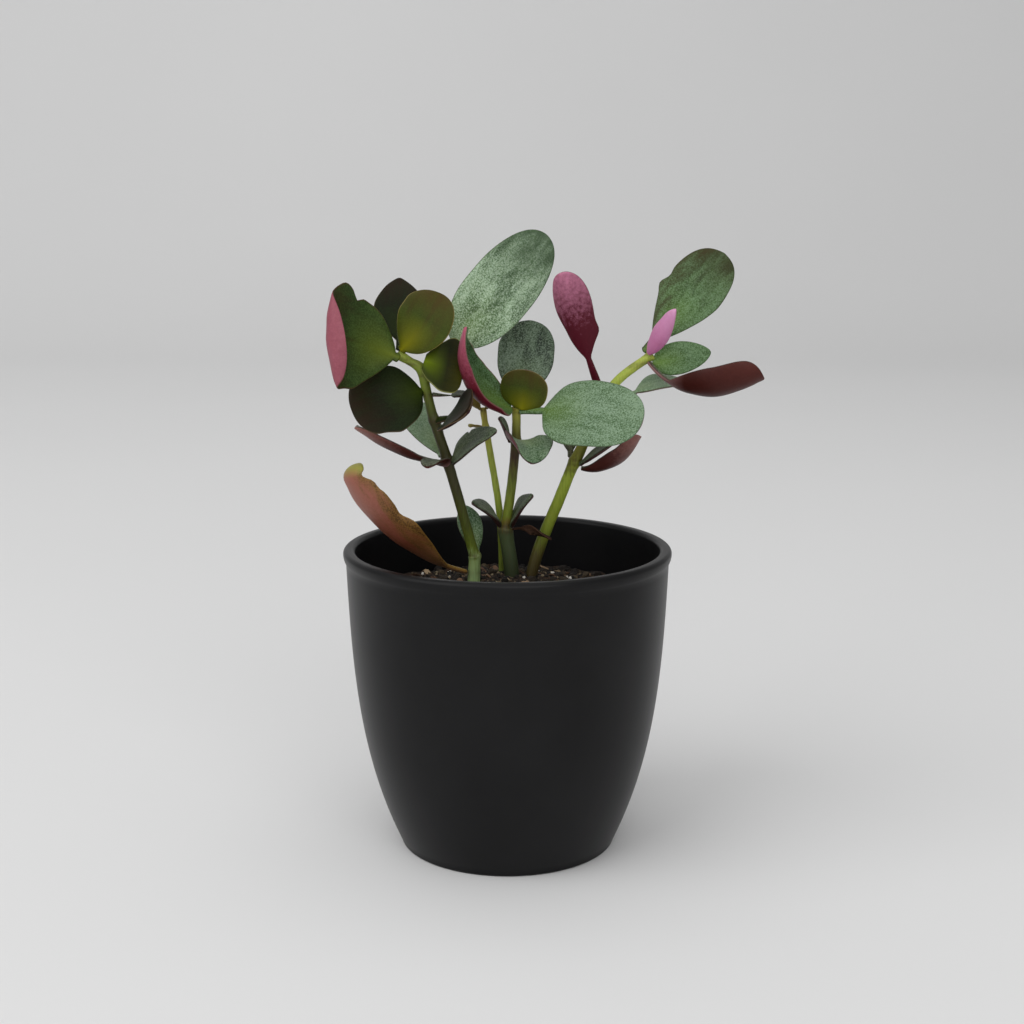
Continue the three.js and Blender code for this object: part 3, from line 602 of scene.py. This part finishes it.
def make_stem(name):
    """The CAD stem smoothed, roughened a little, and marked with its rise and its leaf scars."""
    stem = bpy.data.objects.new(name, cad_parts[name].data.copy())
    scene.collection.objects.link(stem)
    stem.select_set(True)
    bpy.context.view_layer.objects.active = stem
    bpy.ops.object.mode_set(mode="EDIT")
    bpy.ops.mesh.select_all(action="SELECT")
    bpy.ops.mesh.remove_doubles(threshold=MERGE)
    bpy.ops.mesh.tris_convert_to_quads(face_threshold=1.2, shape_threshold=1.2)
    bpy.ops.object.mode_set(mode="OBJECT")
    apply_modifier(stem, "SUBSURF", levels=2, render_levels=2)
    nodes = [read_leaf(leaf)["root"].z for leaf in LEAVES if leaf.split("_")[1] == name.split("_")[1]]
    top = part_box(name)[1].z
    marks = []
    outward = [vertex.normal.copy() for vertex in stem.data.vertices]
    for vertex, normal in zip(stem.data.vertices, outward):
        z = vertex.co.z
        rough = noise.noise(Vector((vertex.co.x, vertex.co.y, z * 0.35)) / BARK_GRAIN)
        vertex.co += normal * (BARK_RELIEF * rough)
        scar = max([math.exp(-(((z - at + SCAR_BELOW) / SCAR_HALF) ** 2)) for at in nodes] or [0])
        ragged = 0.5 + 0.5 * noise.noise(vertex.co / SCAR_HALF)
        marks.append(((z - SOIL_TOP) / (top - SOIL_TOP), 0.75 * scar * ragged, 0))
    write_vectors(stem, "stem", marks)
    bpy.ops.object.shade_smooth()
    return finished(stem, name + "_bark", stem_skin("green_bark_" + name, STEM_COLOURS[name]), name)


# ---- leaves ----
LEAF_THICK = 1.9 * MM
NECK_HALF = 1.5 * MM  # most half width of the base where it leaves the stem
SMALL_LEAF = 9.5 * MM  # a leaf narrower than this has a coarser mesh
ROOT_BACK = 0.7 * MM  # how far the base is drawn back towards its stem
GROOVE = 0.22 * MM  # depth of the groove over the midrib
SWELL = 0.4 * MM  # height of the blade's soft unevenness
LEFT, RIGHT, BOTH = 1, -1, 0  # hands of a leaf seen from above with its tip ahead

# Each leaf: its skin, and what makes it itself:
#   stalk   share of its length that is stalk
#   widest  share of its length at which it is widest
#   base    fullness of the outline behind the widest place, and tip, ahead of it, where 2 is an ellipse
#   wave    unevenness of the outline
#   lobes   (place along, hand, size, spread) of each lobe, or notch where the size is below zero
#   hook    (share of the length where it starts, degrees) by which the leaf's end curls to its upper side
#   roll    degrees by which it is turned about its length, and twist, from root to tip
#   aim     degrees by which its root and its tip swing to its left in its own plane
#   arch    bow of the midrib to the upper side, as a share of its length, beyond what the frame holds
#   broad, cup and long   its width, cupping and length, each as a share of what the frame holds
LEAVES = {
    "leaf_left_spoon": dict(skin="spoon", stalk=0.04, widest=0.6, base=1.9, tip=3.4, wave=0.05,
                            hook=(0.72, 128), cup=0.7, roll=-8, long=1.25, aim=(-12, 23),
                            lobes=[(0.5, RIGHT, -0.12, 0.035), (0.63, RIGHT, 0.12, 0.08)]),
    "leaf_left_pointed": dict(skin="dark", widest=0.55, base=1.6, tip=1.45, wave=0.03, broad=1.05),
    "leaf_left_upright": dict(skin="olive", stalk=0.02, widest=0.58, base=1.9, tip=2.3, wave=0.02, broad=1.05,
                              aim=(-16, 14)),
    "leaf_left_cup": dict(skin="cup", stalk=-0.1, widest=0.66, base=1.6, tip=2.4, wave=0.03, broad=1.15,
                          aim=(0, 12)),
    "leaf_left_front": dict(skin="dark", stalk=0.02, widest=0.55, base=2.2, tip=2.3, wave=0.06, broad=1.05),
    "leaf_left_tall": dict(skin="silver", stalk=0.21, widest=0.58, base=2.4, tip=2.2, wave=0.015, broad=0.95),
    "leaf_left_folded": dict(skin="dark", stalk=0.35, widest=0.7, wave=0.04, roll=-15),
    "leaf_left_brown": dict(skin="maroon", stalk=0.5, widest=0.75, broad=0.8),
    "leaf_left_long": dict(skin="russet", stalk=0.0, base=1.6, tip=2.4, cup=2.0, roll=14, wave=0.03),
    "leaf_left_pale": dict(skin="pale", stalk=0.0, base=1.6, tip=2.6, widest=0.7, broad=1.1),
    "leaf_left_slant": dict(skin="grey", stalk=0.0, base=2.8, tip=1.5, widest=0.42, wave=0.03, broad=1.05,
                            lobes=[(0.45, LEFT, -0.2, 0.025)]),
    "leaf_left_small": dict(skin="maroon", stalk=0.0, base=2.2, tip=1.8),
    "leaf_left_low": dict(skin="folded", stalk=0.0, base=1.8, tip=1.8, broad=0.85),
    "leaf_left_old": dict(skin="salmon", stalk=0.12, base=1.8, tip=2.4, wave=0.09, hook=(0.88, 120),
                          long=1.06, lobes=[(0.6, LEFT, -0.16, 0.05), (0.8, LEFT, -0.1, 0.03),
                                            (0.9, BOTH, -0.3, 0.05)]),
    "leaf_middle_folded": dict(skin="folded", stalk=0.0, base=2.4, tip=1.5, widest=0.5, broad=1.05, roll=8),
    "leaf_middle_broad": dict(skin="frosted", stalk=0.22, widest=0.58, base=2.7, tip=2.4, wave=0.012,
                              aim=(-4, -4)),
    "leaf_middle_round": dict(skin="olive", stalk=0.0, base=2.6, tip=2.2, broad=1.05),
    "leaf_middle_crimson": dict(skin="crimson", stalk=0.0, base=2.4, tip=1.5, widest=0.42, wave=0.03, roll=8,
                                arch=-0.11),
    "leaf_middle_back": dict(skin="streaked", stalk=0.1, wave=0.03, base=2.0, tip=2.3),
    "leaf_middle_narrow": dict(skin="grey"),
    "leaf_middle_low_left": dict(skin="grey", stalk=0.0, base=1.9, tip=1.4, widest=0.5, broad=1.25),
    "leaf_middle_low_right": dict(skin="grey", stalk=0.0, base=1.9, tip=1.3, widest=0.5, broad=1.25),
    "leaf_middle_dried": dict(skin="dried", stalk=0.2, wave=0.3, twist=160),
    "bud_back_top_left": dict(skin="bud", stalk=0.1, wave=0.1, twist=40, broad=1.3),
    "bud_back_top_right": dict(skin="bud", stalk=0.1, wave=0.1, twist=-40, broad=1.3),
    "bud_back_low": dict(skin="bud", stalk=0.1, wave=0.1, broad=1.2),
    "leaf_right_pink": dict(skin="blush", stalk=0.3, widest=0.74, base=1.7, tip=2.2, wave=0.03,
                            lobes=[(0.5, LEFT, 0.3, 0.07)]),
    "leaf_right_long": dict(skin="pale", stalk=0.35, base=1.6, tip=1.5, widest=0.62, arch=0.05),
    "leaf_right_rise": dict(skin="maroon"),
    "leaf_right_green": dict(skin="grey"),
    "leaf_right_crescent": dict(skin="russet", stalk=0.0, wave=0.04, base=2.0, tip=3.0, arch=-0.12,
                                broad=1.15),
    "leaf_right_tall": dict(skin="green", stalk=0.1, widest=0.6, base=1.5, tip=2.3, wave=0.02,
                            lobes=[(0.5, LEFT, 0.1, 0.05), (0.6, LEFT, -0.08, 0.05)]),
    "leaf_right_magenta": dict(skin="magenta", stalk=0.0, base=2.0, tip=1.5, widest=0.45, broad=0.9),
    "leaf_right_small": dict(skin="small", stalk=0.0, base=2.4, tip=1.6, widest=0.45, roll=12, broad=0.95),
    "leaf_right_low": dict(skin="maroon", stalk=0.24, wave=0.02, base=1.8, tip=3.2, widest=0.68, roll=-18,
                           broad=0.9, arch=-0.075),
}


def read_leaf(name):
    """The lie of a leaf, from its CAD node: root, tip, upper side, width, half cup angle and rise."""
    shape = bmesh.new()
    shape.from_mesh(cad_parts[name].data)
    bmesh.ops.remove_doubles(shape, verts=shape.verts, dist=MERGE)
    ends = sorted(shape.verts, key=lambda v: len(v.link_edges))[-2:]
    root, tip = sorted(ends, key=lambda v: sum(e.calc_length() for e in v.link_edges))
    rings, seen = [{root}], {root}
    while True:
        ring = {e.other_vert(v) for v in rings[-1] for e in v.link_edges} - seen
        if not ring:
            break
        seen |= ring
        rings.append(ring)
    rings = rings[1:-1]

    def girth(ring):
        return sum(e.calc_length() for v in ring for e in v.link_edges if e.other_vert(v) in ring) / 2

    def middle(ring):
        return sum((v.co for v in ring), Vector()) / len(ring)

    widest = max(range(1, len(rings) - 1), key=lambda i: girth(rings[i]))
    ring = [v.co.copy() for v in rings[widest]]
    one, other = max(((a, b) for a in ring for b in ring), key=lambda pair: (pair[0] - pair[1]).length)
    side = (other - one).normalized()
    travel = (middle(rings[widest + 1]) - middle(rings[widest - 1])).normalized()
    face = travel.cross(side).normalized()
    between = (one + other) / 2
    if (between - middle(rings[widest])).dot(face) < 0:
        face = -face
    half_chord = (other - one).length / 2
    keel = [p for p in ring if abs((p - between).dot(side)) < 0.5 * half_chord]
    sunk = (between - sum(keel, Vector()) / len(keel)).dot(face)
    found = {
        "root": root.co.copy(),
        "tip": tip.co.copy(),
        "width": girth(rings[widest]) / 2 * 0.985,
        "cup": max(0.05, sunk / (0.24 * 2 * half_chord)),
    }
    ahead = (found["tip"] - found["root"]).normalized()
    found["face"] = (face - ahead * face.dot(ahead)).normalized()
    length = (found["tip"] - found["root"]).length
    spot = middle(rings[len(rings) // 2])
    share = (spot - found["root"]).dot(ahead) / length
    lift = (spot - found["root"] - ahead * (share * length)).dot(found["face"])
    lift -= 0.3 * sunk
    found["rise"] = lift / (share * (1 - share))
    shape.free()
    return found


def clamp(value):
    return min(1.0, max(0.0, value))


def leaf_spine(lie, shares, roll, twist, hook, long, aim, arch):
    """Where the midrib runs: centre, travel and upper side at each share of the length."""
    root, tip = lie["root"], lie["tip"]
    ahead = (tip - root).normalized()
    tip = root.lerp(tip, long)
    root = root - ahead * ROOT_BACK
    face = lie["face"].copy()
    face.rotate(Matrix.Rotation(math.radians(roll), 3, ahead))
    rise = lie["rise"] + 4 * arch * (tip - root).length
    start, curl = hook
    spine, centre, last = {}, root, 0.0
    for share in shares:
        flat_travel = tip - root + face * (rise * (1 - 2 * share))
        flat_travel.rotate(Matrix.Rotation(math.radians(aim[0] + (aim[1] - aim[0]) * share), 3, face))
        cross = flat_travel.cross(face).normalized()
        pitch = math.radians(curl) * clamp((share - start) / (1 - start)) ** 1.2
        travel = flat_travel.copy()
        travel.rotate(Matrix.Rotation(pitch, 3, cross))
        centre = centre + travel * (share - last)
        last = share
        travel.normalize()
        up = cross.cross(travel)
        up.rotate(Matrix.Rotation(math.radians(twist) * share, 3, travel))
        spine[share] = (centre, travel, up)
    return spine, (tip - root).length


def half_outline(share, hand, over, stalk, widest, base, tip, lobes):
    """Half width of a blade at a share of its length, as a share of the widest half."""
    if share < widest:
        behind = clamp((widest - share) / (widest - stalk))
        half = max(0.0, 1 - behind**base) ** (1.35 / base)
    else:
        half = max(0.0, 1 - ((share - widest) / (1 - widest)) ** tip) ** (1 / tip)
    for place, lobe_hand, size, spread in lobes:
        if lobe_hand in (hand, BOTH):
            half += size * half * math.exp(-(((share - place) / spread) ** 2)) * over
    return half


def make_leaf(name, skin, stalk=0.1, widest=0.58, base=2.0, tip=2.0, wave=0.0, lobes=(), hook=(0.5, 0),
              roll=0.0, twist=0.0, broad=1.0, cup=1.0, long=1.0, aim=(0, 0), arch=0.0):
    lie = read_leaf(name)
    width = lie["width"] * broad
    seed = sum(map(ord, name)) % 97
    neck = min(NECK_HALF, 0.13 * width)
    thick = min(LEAF_THICK, 0.25 * width)
    segments, rings = (24, 26) if width < SMALL_LEAF else (44, 56)
    bpy.ops.mesh.primitive_uv_sphere_add(segments=segments, ring_count=rings, radius=1)
    leaf = bpy.context.object
    shares = sorted({round((1 - v.co.z) / 2, 5) for v in leaf.data.vertices})
    spine, length = leaf_spine(lie, shares, roll, twist, hook, long, aim, arch)
    marks, blade = [], []
    for vertex in leaf.data.vertices:
        share = round((1 - vertex.co.z) / 2, 5)
        angle = math.atan2(vertex.co.y, vertex.co.x)
        over, upward = math.cos(angle), math.sin(angle)
        if abs(vertex.co.z) > 0.9999:
            over = upward = 0.0
        hand = LEFT if over > 0 else RIGHT
        ragged = noise.noise(Vector((share * 5, hand * 3.7 * abs(over), seed)))
        half = half_outline(share, hand, abs(over), stalk, widest, base, tip, lobes)
        half *= width / 2 * (1 + wave * 1.6 * ragged)
        stub = neck * math.sqrt(min(1, share / 0.02, (1 - share) / 0.04))
        stub *= clamp(1.3 - 2 * share) + 0.3 * math.exp(-share * length / (1.2 * MM))
        half = max(half, stub)
        flat = clamp((half - neck) / (0.3 * width))
        deep = flat * min(half, thick / 2) * (1.2 - 0.5 * share) + (1 - flat) * min(0.75 * half, 0.85 * MM)
        bend = max(0.02, lie["cup"] * cup * flat)
        lift = deep * math.copysign(abs(upward) ** 0.8, upward)
        lift -= GROOVE * flat * math.exp(-((over / 0.07) ** 2)) * (1 - share)
        swell = noise.noise(Vector((share * length / (9 * MM), over * half / (7 * MM), seed + 0.5)))
        lift += SWELL * flat * swell
        turn = bend * over
        curve = half / bend
        centre, travel, up = spine[share]
        sideways = (curve - lift) * math.sin(turn)
        upwards = curve * (1 - math.cos(turn)) + lift * math.cos(turn)
        vertex.co = centre + up.cross(travel) * sideways + up * upwards
        marks.append((share, over, upward))
        blade.append((share * length / MM, over * half / MM, seed * 3.1))
    write_vectors(leaf, "leaf", marks)
    write_vectors(leaf, "blade", blade)
    bpy.ops.object.mode_set(mode="EDIT")
    bpy.ops.mesh.select_all(action="SELECT")
    bpy.ops.mesh.normals_make_consistent(inside=False)
    bpy.ops.object.mode_set(mode="OBJECT")
    bpy.ops.object.shade_smooth()
    return finished(leaf, name + "_fleshy", LEAF_MATERIALS[skin], name)


# ---- floor and backdrop ----
SWEEP_RADIUS = 1.2
SWEEP_STEPS = 16
BACKDROP_RISE = 2.5


def make_backdrop():
    """One plain sheet that lies as the floor and sweeps up far behind."""
    bpy.ops.mesh.primitive_plane_add(size=6, location=(0, -1.2, 0))
    sheet = bpy.context.object
    bpy.ops.object.mode_set(mode="EDIT")
    bpy.ops.mesh.select_mode(type="EDGE")
    bpy.ops.mesh.select_all(action="DESELECT")
    mesh = bmesh.from_edit_mesh(sheet.data)
    far = [e for e in mesh.edges if all(v.co.y > 2.9 for v in e.verts)]
    for edge in far:
        edge.select_set(True)
    bmesh.update_edit_mesh(sheet.data)
    before = (0.0, 0.0)
    for i in range(1, SWEEP_STEPS + 1):
        angle = math.pi / 2 * i / SWEEP_STEPS
        now = (SWEEP_RADIUS * math.sin(angle), SWEEP_RADIUS * (1 - math.cos(angle)))
        step = (0, now[0] - before[0], now[1] - before[1])
        bpy.ops.mesh.extrude_edges_move(TRANSFORM_OT_translate={"value": step})
        before = now
    bpy.ops.mesh.extrude_edges_move(TRANSFORM_OT_translate={"value": (0, 0, BACKDROP_RISE)})
    bpy.ops.object.mode_set(mode="OBJECT")
    bpy.ops.object.transform_apply(location=True, rotation=True, scale=True)
    bpy.ops.object.shade_smooth()
    sheet.name = "floor"
    sheet.data.materials.append(backdrop_paint())
    bpy.ops.object.select_all(action="DESELECT")


def light_studio():
    world = bpy.data.worlds.new("studio")
    world.use_nodes = True
    air = world.node_tree.nodes["Background"]
    air.inputs["Color"].default_value = (1, 1, 1, 1)
    air.inputs["Strength"].default_value = 0.37
    scene.world = world
    add_softbox("window", (-1.7, -1.2, 1.5), (0, 0, 0.1), (2.4, 2.4), 33)
    add_softbox("front_fill", (0.5, -2.4, 1.3), (0, 0, 0.1), (2.2, 2.2), 27)
    add_softbox("ceiling", (0, -0.1, 2.4), (0, 0, 0), (2.4, 2.4), 14)
    add_softbox("backdrop_wash", (-1.0, 1.5, 2.2), (-0.4, 3.0, 1.0), (1.5, 1.5), 6)


set_camera()
scene.view_settings.view_transform = "Standard"
scene.view_settings.look = "None"
make_backdrop()
light_studio()
make_pot()
make_soil()
make_soil_bits()
LEAF_MATERIALS = {name: leaf_skin("succulent_leaf_" + name, **look) for name, look in LEAF_SKINS.items()}
for stem_name in STEM_COLOURS:
    make_stem(stem_name)
for leaf_name, leaf_look in LEAVES.items():
    make_leaf(leaf_name, **leaf_look)
